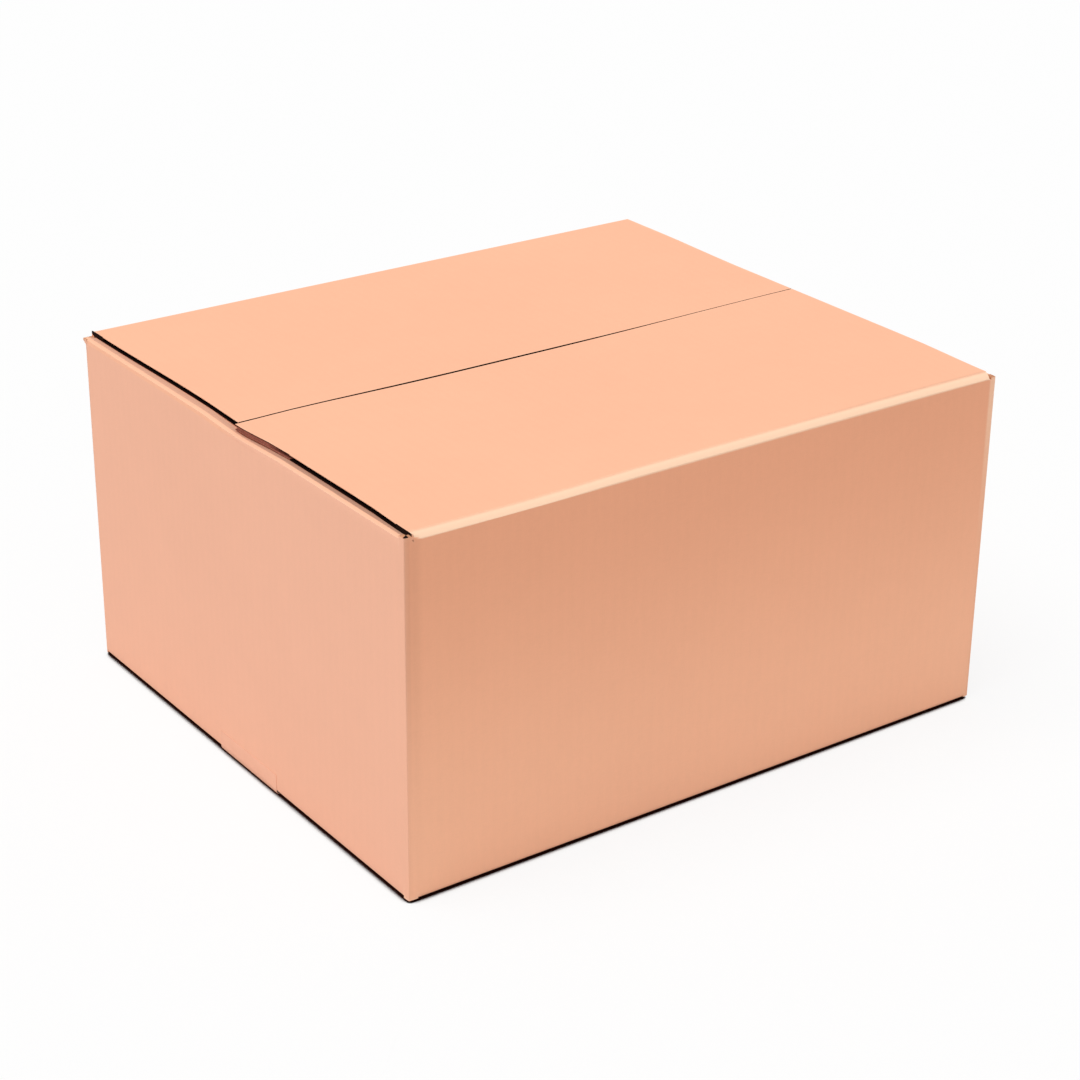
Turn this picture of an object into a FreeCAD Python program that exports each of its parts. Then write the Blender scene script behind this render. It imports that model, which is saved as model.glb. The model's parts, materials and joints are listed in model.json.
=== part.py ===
import FreeCAD, Part
import math
import os

# Closed cardboard box: a slotted carton folded from one sheet of corrugated board
# All values are millimetres. X runs along the long walls, Y along the short walls and Z up.
# The origin is the middle of the face that the box stands on. The front wall faces -Y.

# Outside size of the closed box
LENGTH = 380.0
WIDTH = 330.0
HEIGHT = 200.0

# The board and its folds
BOARD = 3.0
FOLD_INNER_R = 0.3

# Play between two boards that lie on each other
FLAP_PLAY = 0.3

# The outer flaps stand back from the short walls by these distances, and meet with this gap
LEFT_INSET = 5.5
RIGHT_INSET = 3.5
SEAM_GAP = 1.0

# The inner flaps pass the long walls with this clearance and leave this space between their ends
INNER_FLAP_CLEAR = 1.5
INNER_FLAP_SPACE = 50.0

# The glue tab inside the corner where the two ends of the sheet meet
TAB_WIDTH = 35.0
TAB_TAPER = 10.0
TAB_CLEAR = 2.0
RAW_EDGE_SETBACK = 0.5

# The strip of paper tape over the bottom seam, and how far it turns up at each end
TAPE = 0.2
TAPE_WIDTH = 60.0
TAPE_OFFSET = -6.0
TAPE_TURN_UP = 12.0

# Derived places
FOLD_R = FOLD_INNER_R + BOARD
HALF_LENGTH = LENGTH / 2
HALF_WIDTH = WIDTH / 2
INNER_INSET = BOARD + INNER_FLAP_CLEAR
INNER_FLAP_REACH = (LENGTH - INNER_FLAP_SPACE) / 2
OUTER_FLAP_REACH = (WIDTH - SEAM_GAP) / 2
INNER_BOTTOM = BOARD + FLAP_PLAY
INNER_TOP = HEIGHT - BOARD - FLAP_PLAY
SLOT_LOW = INNER_BOTTOM + BOARD / 2
SLOT_HIGH = INNER_TOP - BOARD / 2
TAB_LOW = INNER_BOTTOM + BOARD + TAB_CLEAR
TAB_HIGH = INNER_TOP - BOARD - TAB_CLEAR
CORNER_X = HALF_LENGTH - FOLD_R
CORNER_Y = HALF_WIDTH - FOLD_R
TAB_FOLD_X = HALF_LENGTH - BOARD - FOLD_R

# Directions of the two ends and the middle of a fold, seen along the fold
WALL_SIDE = 180.0
MITRE = 135.0
FLAP_SIDE = 90.0


def box(low, high):
    """A block between two opposite corners."""
    size = [b - a for a, b in zip(low, high)]
    return Part.makeBox(*size, FreeCAD.Vector(*low))


def joined(shapes):
    """Pieces of one sheet as one solid, with no lines left between flush faces."""
    whole = shapes[0].fuse(shapes[1:]).removeSplitter()
    return whole.Solids[0] if len(whole.Solids) == 1 else whole


def turned_over(shape):
    """The same shape with its underside on top, within the height of the box."""
    return shape.mirror(FreeCAD.Vector(0, 0, HEIGHT / 2), FreeCAD.Vector(0, 0, 1))


def opposite_long_wall(shape):
    """The same shape at the other long wall."""
    return shape.mirror(FreeCAD.Vector(0, 0, 0), FreeCAD.Vector(0, 1, 0))


def opposite_short_wall(shape):
    """The same shape at the other short wall."""
    return shape.mirror(FreeCAD.Vector(0, 0, 0), FreeCAD.Vector(1, 0, 0))


def fold_face(place, centre, start, end):
    """The section of a fold between two angles; place turns (across, up) into a point."""
    def on(radius, angle):
        turn = math.radians(angle)
        return place(centre[0] + radius * math.cos(turn), centre[1] + radius * math.sin(turn))
    middle = (start + end) / 2
    edges = [
        Part.Arc(on(FOLD_R, start), on(FOLD_R, middle), on(FOLD_R, end)).toShape(),
        Part.LineSegment(on(FOLD_R, end), on(FOLD_INNER_R, end)).toShape(),
        Part.Arc(on(FOLD_INNER_R, end), on(FOLD_INNER_R, middle), on(FOLD_INNER_R, start)).toShape(),
        Part.LineSegment(on(FOLD_INNER_R, start), on(FOLD_R, start)).toShape(),
    ]
    return Part.Face(Part.Wire(edges))


def long_fold(top, start, end):
    """A fold along the front wall, under the height top, between the insets of the outer flaps."""
    low_x = -HALF_LENGTH + LEFT_INSET
    high_x = HALF_LENGTH - RIGHT_INSET
    face = fold_face(lambda y, z: FreeCAD.Vector(low_x, y, z),
                     (-HALF_WIDTH + FOLD_R, top - FOLD_R), start, end)
    return face.extrude(FreeCAD.Vector(high_x - low_x, 0, 0))


def short_fold(top):
    """The whole fold along the left wall, between the insets of the inner flaps."""
    low_y = -HALF_WIDTH + INNER_INSET
    face = fold_face(lambda x, z: FreeCAD.Vector(x, low_y, z),
                     (-HALF_LENGTH + FOLD_R, top - FOLD_R), WALL_SIDE, FLAP_SIDE)
    return face.extrude(FreeCAD.Vector(0, -2 * low_y, 0))


def upright_fold(centre_x, centre_y, start, low_z, high_z):
    """A quarter fold about an upright line."""
    face = fold_face(lambda x, y: FreeCAD.Vector(x, y, low_z), (centre_x, centre_y),
                     start, start + FLAP_SIDE)
    return face.extrude(FreeCAD.Vector(0, 0, high_z - low_z))


def outer_flap_board(top):
    """The flat of an outer flap, from its fold at the front wall to the seam."""
    return box((-HALF_LENGTH + LEFT_INSET, -HALF_WIDTH + FOLD_R, top - BOARD),
               (HALF_LENGTH - RIGHT_INSET, -HALF_WIDTH + OUTER_FLAP_REACH, top))


def front_top_flap():
    """The outer top flap at the front, with its half of the mitred fold."""
    return joined([outer_flap_board(HEIGHT), long_fold(HEIGHT, MITRE, FLAP_SIDE)])


def long_wall(right_end):
    """The front wall as far as right_end, with its half of the mitred top fold."""
    def stretch(low_x, high_x, low_z, high_z):
        return box((low_x, -HALF_WIDTH, low_z), (high_x, -HALF_WIDTH + BOARD, high_z))
    between_corners = (-HALF_LENGTH + FOLD_R, right_end)
    between_slots = (-HALF_LENGTH + LEFT_INSET, HALF_LENGTH - RIGHT_INSET)
    return [stretch(*between_corners, SLOT_LOW, SLOT_HIGH),
            stretch(*between_slots, FOLD_R, SLOT_LOW),
            stretch(*between_slots, SLOT_HIGH, HEIGHT - FOLD_R),
            long_fold(HEIGHT, WALL_SIDE, MITRE)]


def short_wall():
    """The left wall up to its folds, without its corners."""
    low_y = -HALF_WIDTH + FOLD_R
    inside_y = -HALF_WIDTH + INNER_INSET
    body = box((-HALF_LENGTH, inside_y, INNER_BOTTOM + FOLD_R),
               (-HALF_LENGTH + BOARD, -inside_y, INNER_TOP - FOLD_R))
    ends = [box((-HALF_LENGTH, y, SLOT_LOW), (-HALF_LENGTH + BOARD, y + inside_y - low_y, SLOT_HIGH))
            for y in (low_y, -inside_y)]
    return [body, *ends]


def inner_flap():
    """The left inner top flap with its whole fold."""
    board = box((-HALF_LENGTH + FOLD_R, -HALF_WIDTH + INNER_INSET, INNER_TOP - BOARD),
                (-HALF_LENGTH + INNER_FLAP_REACH, HALF_WIDTH - INNER_INSET, INNER_TOP))
    return [board, short_fold(INNER_TOP)]


def bottom_outer_flap():
    """The front outer bottom flap with its whole fold."""
    board = outer_flap_board(HEIGHT)
    fold = long_fold(HEIGHT, WALL_SIDE, FLAP_SIDE)
    return [turned_over(board), turned_over(fold)]


def glue_tab():
    """The tab folded in from the rear wall and glued flat inside the right wall."""
    fold = upright_fold(TAB_FOLD_X, CORNER_Y, 0, TAB_LOW, TAB_HIGH)
    outline = [(CORNER_Y, TAB_LOW), (CORNER_Y - TAB_WIDTH, TAB_LOW + TAB_TAPER),
               (CORNER_Y - TAB_WIDTH, TAB_HIGH - TAB_TAPER), (CORNER_Y, TAB_HIGH)]
    points = [FreeCAD.Vector(HALF_LENGTH - 2 * BOARD, y, z) for y, z in outline]
    face = Part.Face(Part.makePolygon(points + points[:1]))
    return [fold, face.extrude(FreeCAD.Vector(BOARD, 0, 0))]


def raw_corner():
    """The end of the right wall, which runs past the glue tab's fold to its cut edge."""
    return box((HALF_LENGTH - BOARD, CORNER_Y, SLOT_LOW),
               (HALF_LENGTH, HALF_WIDTH - RAW_EDGE_SETBACK, SLOT_HIGH))


def corner_folds():
    """The three upright folds of the sheet: rear left, front left and front right."""
    places = ((-CORNER_X, CORNER_Y, 90), (-CORNER_X, -CORNER_Y, 180), (CORNER_X, -CORNER_Y, 270))
    return [upright_fold(x, y, start, SLOT_LOW, SLOT_HIGH) for x, y, start in places]


def bottom_tape():
    """The strip of tape along the bottom seam, turned up over the short walls."""
    left = -HALF_LENGTH
    right = HALF_LENGTH
    outside = [(left - TAPE, TAPE_TURN_UP), (left - TAPE, INNER_BOTTOM), (left + LEFT_INSET - TAPE, 0),
               (right - RIGHT_INSET + TAPE, 0), (right + TAPE, INNER_BOTTOM), (right + TAPE, TAPE_TURN_UP)]
    inside = [(right, TAPE_TURN_UP), (right, INNER_BOTTOM), (right - RIGHT_INSET, TAPE),
              (left + LEFT_INSET, TAPE), (left, INNER_BOTTOM), (left, TAPE_TURN_UP)]
    low_y = TAPE_OFFSET - TAPE_WIDTH / 2
    points = [FreeCAD.Vector(x, low_y, z) for x, z in outside + inside]
    face = Part.Face(Part.makePolygon(points + points[:1]))
    return face.extrude(FreeCAD.Vector(0, TAPE_WIDTH, 0))


def carton(tape):
    """The folded sheet without its two outer top flaps; the board is pressed in under the tape."""
    pieces = corner_folds() + glue_tab() + [raw_corner()] + long_wall(CORNER_X)
    pieces += [opposite_long_wall(shape) for shape in long_wall(TAB_FOLD_X)]
    for shape in bottom_outer_flap():
        pieces += [shape, opposite_long_wall(shape)]
    for shape in short_wall() + inner_flap() + [turned_over(part) for part in inner_flap()]:
        pieces += [shape, opposite_short_wall(shape)]
    return joined(pieces).cut(tape).Solids[0]


def main():
    """Build every node and write one file for each."""
    tape = bottom_tape()
    flap = front_top_flap()
    nodes = {
        "carton": carton(tape),
        "front_top_flap": flap,
        "rear_top_flap": opposite_long_wall(flap),
        "bottom_tape": tape,
    }
    os.makedirs("parts", exist_ok=True)
    for name, shape in nodes.items():
        shape.exportStep(os.path.join("parts", name + ".step"))
        print(name, len(shape.Solids), "solid,", round(shape.Volume / 1000, 1), "cm3")


main()
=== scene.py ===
"""Looks of a closed cardboard box: one creased sheet of corrugated board, its cut edges, folds and tape."""

import json
import logging
import math
from collections.abc import Callable, Sequence
from dataclasses import dataclass
from enum import Enum

import bmesh
import bpy
from mathutils import Matrix, Vector
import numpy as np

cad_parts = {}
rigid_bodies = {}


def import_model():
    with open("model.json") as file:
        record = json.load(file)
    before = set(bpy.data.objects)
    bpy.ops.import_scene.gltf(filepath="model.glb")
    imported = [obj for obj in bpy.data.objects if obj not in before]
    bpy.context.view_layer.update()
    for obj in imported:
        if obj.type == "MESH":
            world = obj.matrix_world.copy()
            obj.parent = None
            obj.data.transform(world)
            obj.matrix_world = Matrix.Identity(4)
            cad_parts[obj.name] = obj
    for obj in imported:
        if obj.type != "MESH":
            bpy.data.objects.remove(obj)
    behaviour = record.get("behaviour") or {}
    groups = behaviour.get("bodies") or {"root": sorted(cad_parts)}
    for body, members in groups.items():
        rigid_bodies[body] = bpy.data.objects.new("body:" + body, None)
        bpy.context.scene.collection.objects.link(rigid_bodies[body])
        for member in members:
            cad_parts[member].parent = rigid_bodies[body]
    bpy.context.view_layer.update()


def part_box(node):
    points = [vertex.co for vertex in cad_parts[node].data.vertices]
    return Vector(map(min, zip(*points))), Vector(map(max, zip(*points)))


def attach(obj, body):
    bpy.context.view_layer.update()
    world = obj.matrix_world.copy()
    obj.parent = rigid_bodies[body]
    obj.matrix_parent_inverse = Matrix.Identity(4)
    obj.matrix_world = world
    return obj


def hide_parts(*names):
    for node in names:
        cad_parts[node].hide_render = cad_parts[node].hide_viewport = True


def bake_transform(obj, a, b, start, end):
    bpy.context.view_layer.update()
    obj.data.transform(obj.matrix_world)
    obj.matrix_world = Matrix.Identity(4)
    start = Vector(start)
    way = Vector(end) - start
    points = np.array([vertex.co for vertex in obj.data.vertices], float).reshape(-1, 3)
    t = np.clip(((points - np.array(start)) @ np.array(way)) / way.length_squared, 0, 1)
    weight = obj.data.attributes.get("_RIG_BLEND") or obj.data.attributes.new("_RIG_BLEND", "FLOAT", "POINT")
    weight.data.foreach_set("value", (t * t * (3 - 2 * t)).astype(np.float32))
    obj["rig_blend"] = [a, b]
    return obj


LOG = logging.getLogger("cardboard_box")
MM = 0.001
QUARTER = math.pi / 2
NEAR = 0.02 * MM
SLOT_WIDTH = 4.5 * MM
FINE = 2 * MM
COARSE = 20 * MM
GROWTH = 1.6
SMOOTH_UNDER = math.radians(35)
UP = Vector((0, 0, 1))
ALONG_X = Vector((1, 0, 0))
ALONG_Y = Vector((0, 1, 0))

Colour = tuple[float, float, float, float]
Place = Callable[[Vector], bool]
WHITE: Colour = (1, 1, 1, 1)


def paint(red: int, green: int, blue: int) -> Colour:
    """Turn a colour as a screen shows it into the linear values that a shader takes.

    Args:
        red: Red from 0 to 255.
        green: Green from 0 to 255.
        blue: Blue from 0 to 255.

    Returns:
        The linear colour, with full alpha.
    """
    def linear(value: int) -> float:
        """One channel without its display curve."""
        share = value / 255
        return share / 12.92 if share <= 0.04045 else ((share + 0.055) / 1.055) ** 2.4
    return linear(red), linear(green), linear(blue), 1.0


def same(value: float, other: float) -> bool:
    """Whether two places on an axis are one."""
    return abs(value - other) < NEAR


def part_way(value: float, low: float, high: float) -> float:
    """How far a value is on the way from low to high, kept from 0 to 1."""
    return min(1.0, max(0.0, (value - low) / (high - low)))


def graded(length: float) -> list[float]:
    """Steps that add up to a length, fine at both ends and coarse in the middle."""
    rising, total, step = [], 0.0, FINE
    while total + step <= length / 2:
        rising.append(step)
        total += step
        step = min(COARSE, step * GROWTH)
    middle = length - 2 * total
    parts = math.ceil(middle / COARSE) if middle > NEAR else 0
    level = [middle / parts] * parts if parts else []
    return rising + level + rising[::-1]


class Mark(Enum):
    """What each point of the sheet carries for its finish and for its painted light and shade."""

    ACROSS = "across"
    CREASE = "crease"
    WORN = "worn"
    SIDE = "side"
    FOLD_SHADE = "score"
    UNDERSIDE_SHADE = "scuff"
    LONG_WALL_LIGHT = "long_wall"


class Skin(Enum):
    """Material slots of a piece of board."""

    LINER = 0
    CUT = 1
    # the near-black finish of the flutes' insides and of cut edges in shade: a painted shade
    SHADED_CORE = 2
    CRUSHED = 3


@dataclass(frozen=True)
class Board:
    """The corrugated board that the whole box is folded from."""

    thickness: float = 3.0 * MM
    liner: float = 0.42 * MM
    medium: float = 0.28 * MM
    flute_pitch: float = 6.5 * MM
    channel: float = 4.5 * MM
    fold_radius: float = 3.3 * MM
    fold_steps: int = 8


@dataclass(frozen=True)
class BoxSize:
    """The outside of the box and the places of its cuts, as the frame has them."""

    long: float
    wide: float
    top: float
    left_cut: float
    right_cut: float
    seam: float
    inner_cut: float
    inner_drop: float = 3.3 * MM
    left_dip: float = 2.7 * MM
    inner_end: float = 25 * MM
    slot_depth: float = 4.8 * MM
    hinge_strip: float = 8.7 * MM
    tape: float = 0.2 * MM

    @classmethod
    def from_frame(cls) -> "BoxSize":
        """Read the sizes from the boxes of the CAD nodes."""
        low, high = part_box("carton")
        flap_low, flap_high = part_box("front_top_flap")
        return cls(
            long=high.x,
            wide=high.y,
            top=flap_high.z,
            left_cut=flap_low.x,
            right_cut=flap_high.x,
            seam=-flap_high.y,
            inner_cut=high.y - SLOT_WIDTH,
        )


class Sheet:
    """A sheet of board on the bench, as its outer skin until it gets its thickness."""

    def __init__(self, name: str, start: Vector, end: Vector, cuts: int) -> None:
        """Start with one straight edge.

        Args:
            name: Name of the piece.
            start: First end of the edge.
            end: Last end of the edge.
            cuts: How many points divide the edge.
        """
        bpy.ops.object.select_all(action="DESELECT")
        bpy.ops.mesh.primitive_plane_add(size=1, enter_editmode=True)
        self.obj = bpy.context.active_object
        self.obj.name = self.obj.data.name = name
        self.pick(lambda p: p.y > 0)
        bpy.ops.mesh.delete(type="VERT")
        mesh = bmesh.from_edit_mesh(self.obj.data)
        for mark in Mark:
            mesh.verts.layers.float.new(mark.value)
        for vertex, place in zip(sorted(mesh.verts, key=lambda v: v.co.x), (start, end)):
            vertex.co = place
        bmesh.update_edit_mesh(self.obj.data)
        bpy.ops.mesh.select_all(action="SELECT")
        if cuts:
            bpy.ops.mesh.subdivide(number_cuts=cuts)

    def select(self, mode: str, wanted: Callable[[bmesh.types.BMesh], list]) -> int:
        """Select some parts of the mesh, with what lies between them, and nothing else.

        Args:
            mode: What the parts are: VERT, EDGE or FACE.
            wanted: Gives the parts.

        Returns:
            How many parts are selected.
        """
        bpy.ops.mesh.select_mode(type=mode)
        bpy.ops.mesh.select_all(action="DESELECT")
        mesh = bmesh.from_edit_mesh(self.obj.data)
        chosen = wanted(mesh)
        for part in chosen:
            part.select_set(True)
        mesh.select_flush_mode()
        bmesh.update_edit_mesh(self.obj.data)
        return len(chosen)

    def pick(self, place: Place) -> int:
        """Select the points at a place, and count them."""
        return self.select("VERT", lambda mesh: [vertex for vertex in mesh.verts if place(vertex.co)])

    def pick_rim(self, place: Place) -> None:
        """Select the open edges whose middle is at a place."""
        def at_place(edge: bmesh.types.BMEdge) -> bool:
            """Whether an edge is open and its middle at the place."""
            return len(edge.link_faces) < 2 and place((edge.verts[0].co + edge.verts[1].co) / 2)
        self.select("EDGE", lambda mesh: [edge for edge in mesh.edges if at_place(edge)])

    def pick_faces(self, place: Place, skin: Skin) -> None:
        """Select the faces of one skin whose middle is at a place."""
        def at_place(face: bmesh.types.BMFace) -> bool:
            """Whether a face has the skin and its middle at the place."""
            return face.material_index == skin.value and place(face.calc_center_median())
        self.select("FACE", lambda mesh: [face for face in mesh.faces if at_place(face)])

    def paint_picked(self, skin: Skin) -> None:
        """Give the faces that are selected to a skin's material slot."""
        self.obj.active_material_index = skin.value
        bpy.ops.object.material_slot_assign()

    def reach(self) -> Vector:
        """The middle of the points that are selected."""
        mesh = bmesh.from_edit_mesh(self.obj.data)
        chosen = [vertex.co for vertex in mesh.verts if vertex.select]
        return sum(chosen, Vector()) / len(chosen)

    def extrude(self, step: Vector) -> None:
        """Extrude what is selected by one step."""
        bpy.ops.mesh.extrude_region_move(TRANSFORM_OT_translate={"value": tuple(step)})

    def run(self, axis: Vector, *stops: float) -> None:
        """Extrude what is selected along an axis, from stop to stop.

        Args:
            axis: One of the frame's axes.
            stops: Places on that axis that get a line of points.
        """
        here = self.reach().dot(axis)
        for stop in stops:
            for step in graded(abs(stop - here)):
                self.extrude(axis * math.copysign(step, stop - here))
            here = stop

    def fold(self, centre: Vector, axis: Vector, angle: float, steps: int) -> None:
        """Extrude what is selected round an axis, by the right-hand rule.

        Args:
            centre: A point on the axis.
            axis: The direction of the axis.
            angle: The angle of the fold in radians.
            steps: How many strips the fold has.
        """
        bpy.ops.mesh.spin(steps=steps, angle=-angle, center=tuple(centre), axis=tuple(axis))

    def write(self, mark: Mark, value: Callable[[bmesh.types.BMVert], float]) -> None:
        """Give every point of the sheet its value of a mark."""
        mesh = bmesh.from_edit_mesh(self.obj.data)
        layer = mesh.verts.layers.float[mark.value]
        for vertex in mesh.verts:
            vertex[layer] = value(vertex)
        bmesh.update_edit_mesh(self.obj.data)

    def face_out(self, towards: Vector) -> None:
        """Merge doubles and turn all faces so that the skin's outer side looks out.

        Args:
            towards: The way that most of the sheet's area along it looks.
        """
        bpy.ops.mesh.select_all(action="SELECT")
        bpy.ops.mesh.remove_doubles(threshold=NEAR / 2)
        bpy.ops.mesh.normals_make_consistent(inside=False)
        mesh = bmesh.from_edit_mesh(self.obj.data)
        facing = sum(face.normal.dot(towards) * face.calc_area() for face in mesh.faces
                     if abs(face.normal.dot(towards)) > 0.9)
        if facing < 0:
            bpy.ops.mesh.flip_normals()

    def thicken(self, board: Board) -> None:
        """Give the skin the board's thickness, inwards, with a rim of its own slot."""
        bpy.ops.object.mode_set(mode="OBJECT")
        apply_modifier("SOLIDIFY", thickness=board.thickness, offset=-1, use_even_offset=True,
                       material_offset_rim=Skin.CUT.value)
        bpy.ops.object.mode_set(mode="EDIT")

    def open_channels(self, board: Board, place: Place) -> None:
        """Sink the cut edges between their two liners, as deep as the eye sees into the flutes, and give the
        channels the near-black core finish as a painted shade.

        Args:
            board: The sizes of the board.
            place: Says whether a rim face is a cut edge.
        """
        self.pick_faces(place, Skin.CUT)
        bpy.ops.mesh.inset(thickness=board.liner, use_boundary=True, use_even_offset=True)
        self.paint_picked(Skin.SHADED_CORE)
        inwards = {"value": -board.channel, "use_even_offset": True}
        bpy.ops.mesh.extrude_region_shrink_fatten(TRANSFORM_OT_shrink_fatten=inwards)
        bpy.ops.mesh.select_more(use_face_step=True)
        self.paint_picked(Skin.SHADED_CORE)

    def repaint(self, place: Place, skin: Skin, new: Skin) -> None:
        """Move the faces of one skin at a place to a new skin's material slot."""
        self.pick_faces(place, skin)
        self.paint_picked(new)

    def crush(self, centre: Vector, start: Vector, end: Vector, board: Board, share: float,
              place: Place) -> None:
        """Flatten the outside of a quarter fold towards the line between its ends, or sharpen its corner.

        Args:
            centre: A point on the fold's axis.
            start: The way from the axis to the fold's first line.
            end: The way from the axis to the fold's last line.
            board: The sizes of the board, which give the fold's radius and strips.
            share: How far each line goes: 0 keeps the fold round, 1 makes it flat and -1 square.
            place: Says which points belong to the fold.
        """
        radius = board.fold_radius
        for line in range(1, board.fold_steps):
            angle = QUARTER * line / board.fold_steps
            along, beyond = math.cos(angle), math.sin(angle)

            def on_line(p: Vector) -> bool:
                """Whether a point is on this line of the fold."""
                out = p - centre
                return same(out.dot(start), radius * along) and same(out.dot(end), radius * beyond)

            if self.pick(lambda p: on_line(p) and place(p)):
                flat, square = 1 / (along + beyond) - 1, 1 / max(along, beyond) - 1
                outward = radius * (flat * share if share > 0 else -square * share)
                bpy.ops.transform.translate(value=tuple((start * along + end * beyond) * outward))

    def press(self, place: Place, push: Sequence[float], reach: float, pinned: Place | None = None) -> None:
        """Push what is at a place, with the board round it giving way softly.

        Args:
            place: Says whether a point is held by the hand that pushes.
            push: The way of the push in millimetres.
            reach: How far the board gives way, in millimetres.
            pinned: Says which points stay where they are.
        """
        if pinned and self.pick(pinned):
            bpy.ops.mesh.hide(unselected=False)
        self.pick(place)
        bpy.ops.transform.translate(
            value=tuple(Vector(push) * MM),
            use_proportional_edit=True,
            proportional_edit_falloff="SMOOTH",
            proportional_size=reach * MM,
        )
        bpy.ops.mesh.reveal(select=False)

    def done(self) -> bpy.types.Object:
        """Leave edit mode, smooth the folds and give the piece."""
        bpy.ops.object.mode_set(mode="OBJECT")
        bpy.ops.object.shade_smooth_by_angle(angle=SMOOTH_UNDER)
        return self.obj


def apply_modifier(kind: str, **settings: object) -> None:
    """Add a modifier with its settings to the active object and apply it, outside edit mode."""
    modifier = bpy.context.active_object.modifiers.new(kind.lower(), kind)
    for key, value in settings.items():
        setattr(modifier, key, value)
    bpy.ops.object.modifier_apply(modifier=modifier.name)


def fold_angle(vertex: bmesh.types.BMVert) -> float:
    """How far the outer skin has turned from a wall towards the top or the bottom, in degrees."""
    return math.degrees(math.atan2(abs(vertex.normal.z), math.hypot(vertex.normal.x, vertex.normal.y)))


def plateau(value: float, low: float, high: float, soft: float) -> float:
    """One between low and high, falling to nothing over a soft border outside them.

    Args:
        value: What is tested.
        low: Where the full stretch starts.
        high: Where the full stretch ends.
        soft: How wide each border is.

    Returns:
        From 0 to 1.
    """
    outside = max(low - value, value - high, 0.0)
    return max(0.0, 1 - outside / soft)


def fold_mark(vertex: bmesh.types.BMVert) -> float:
    """How far a point lies in the pale band of a top fold: stretched paper with a painted highlight.

    Args:
        vertex: A point of the outer skin.

    Returns:
        From 0 on a flat panel to 1 on the palest line.
    """
    angle = fold_angle(vertex)
    if vertex.normal.z < 0 or angle < 1 or angle > 89:
        return 0.0
    over_short_wall = abs(vertex.normal.x) > abs(vertex.normal.y)
    return plateau(angle, 43, 80, 6) * 0.35 if over_short_wall else plateau(angle, 0, 62, 40)


def underside_shade_mark(vertex: bmesh.types.BMVert) -> float:
    """How dark the painted shade on the underside of a bottom fold is at a point."""
    return plateau(fold_angle(vertex), 40, 70, 14) if vertex.normal.z < -0.1 else 0.0


def long_wall_light_mark(vertex: bmesh.types.BMVert) -> float:
    """How much a point takes the long walls' painted light and shade, which blends out over their folds."""
    return part_way(abs(vertex.normal.y), 0.6, 1.0)


def right_end_highlight_mark(vertex: bmesh.types.BMVert, size: BoxSize) -> float:
    """How pale the painted highlight on the right end of the front wall is, which fades towards the floor."""
    if vertex.normal.y > 0 or vertex.co.x < size.right_cut - NEAR or abs(vertex.normal.z) > 0.1:
        return 0.0
    return 0.55 * part_way(vertex.co.z, 60 * MM, 170 * MM)


def score_mark(vertex: bmesh.types.BMVert, size: BoxSize) -> float:
    """How dark the painted shade is in an upright fold and on the line beside the near one, at a point,
    fading towards the floor.

    Args:
        vertex: A point of the outer skin.
        size: The sizes of the box.

    Returns:
        From 0 on an unshaded panel to 1 on the middle of a fold.
    """
    if abs(vertex.normal.z) > 0.1 or vertex.co.x > 0:
        return 0.0
    height = max(0.2, part_way(vertex.co.z, 30 * MM, 140 * MM))
    left_half = vertex.co.y < 0 and vertex.normal.y > -0.6
    folded = 0.0 if left_half else part_way(min(abs(vertex.normal.x), abs(vertex.normal.y)), 0, 0.15)
    on_front = vertex.normal.y < -0.9
    beside = plateau(vertex.co.x, -size.long, size.left_cut + MM, 3.5 * MM) if on_front else 0.0
    return height * max(folded, beside * 0.6)


class Signal:
    """A number on its way through a material; arithmetic on it adds Math nodes."""

    def __init__(self, graph: "Graph", socket: bpy.types.NodeSocket) -> None:
        """Wrap the socket that gives the number."""
        self.graph = graph
        self.socket = socket

    def _math(self, operation: str, *values: object) -> "Signal":
        """Add a Math node with an operation and its values."""
        node = self.graph.node("ShaderNodeMath", {"operation": operation}, dict(enumerate(values)))
        return Signal(self.graph, node.outputs[0])

    def __add__(self, other: object) -> "Signal":
        """This number plus another."""
        return self._math("ADD", self, other)

    def __radd__(self, other: object) -> "Signal":
        """Another number plus this one."""
        return self._math("ADD", other, self)

    def __sub__(self, other: object) -> "Signal":
        """This number less another."""
        return self._math("SUBTRACT", self, other)

    def __mul__(self, other: object) -> "Signal":
        """This number times another."""
        return self._math("MULTIPLY", self, other)

    def sine(self) -> "Signal":
        """The sine of this number."""
        return self._math("SINE", self)

    def ramp(self, low: float, high: float) -> "Signal":
        """This number as a share of the way from low to high, smooth and kept from 0 to 1."""
        sockets = {"Value": self, 1: low, 2: high, 3: 0.0, 4: 1.0}
        node = self.graph.node("ShaderNodeMapRange", {"interpolation_type": "SMOOTHSTEP"}, sockets)
        return Signal(self.graph, node.outputs[0])


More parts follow.
